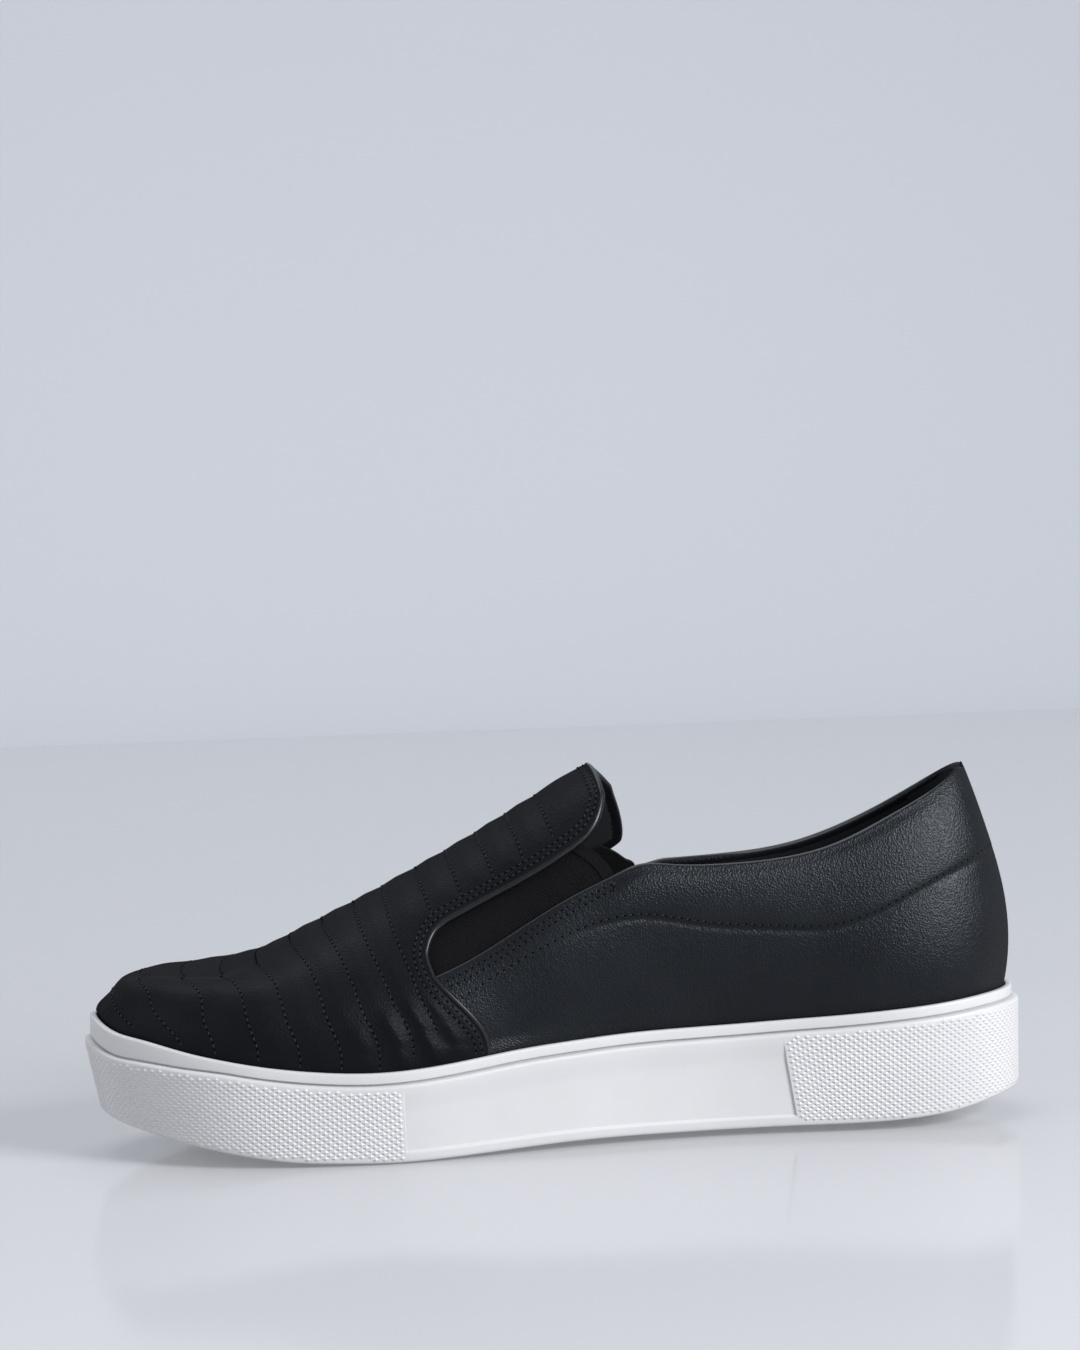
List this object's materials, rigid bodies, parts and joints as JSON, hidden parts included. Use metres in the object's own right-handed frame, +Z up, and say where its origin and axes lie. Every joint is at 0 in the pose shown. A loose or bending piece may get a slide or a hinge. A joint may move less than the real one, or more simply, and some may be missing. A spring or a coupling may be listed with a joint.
{
  "type": "slip-on sneaker",
  "caption": "Women's right slip-on platform sneaker: black leather upper with quilted vamp and raised tab, elastic side gores and a thick white rubber cup sole.",
  "frame": {"origin": "on the floor under the middle of the shoe's box", "axes": "toe to -X, heel to +X, outer side of the foot to +Y, +Z up"},
  "size_m": [0.2658, 0.0952, 0.104],
  "materials": {
    "midsole_rubber": "matte",
    "tread_rubber": "matte",
    "upper_leather": "satin",
    "gore_elastic": "matte",
    "insole_fabric": "matte"
  },
  "bodies": {
    "root": {"outsole": "tread_rubber", "midsole": "midsole_rubber", "upper": "upper_leather", "gore_inner": "gore_elastic", "gore_outer": "gore_elastic", "insole": "insole_fabric"}
  },
  "joints": []
}
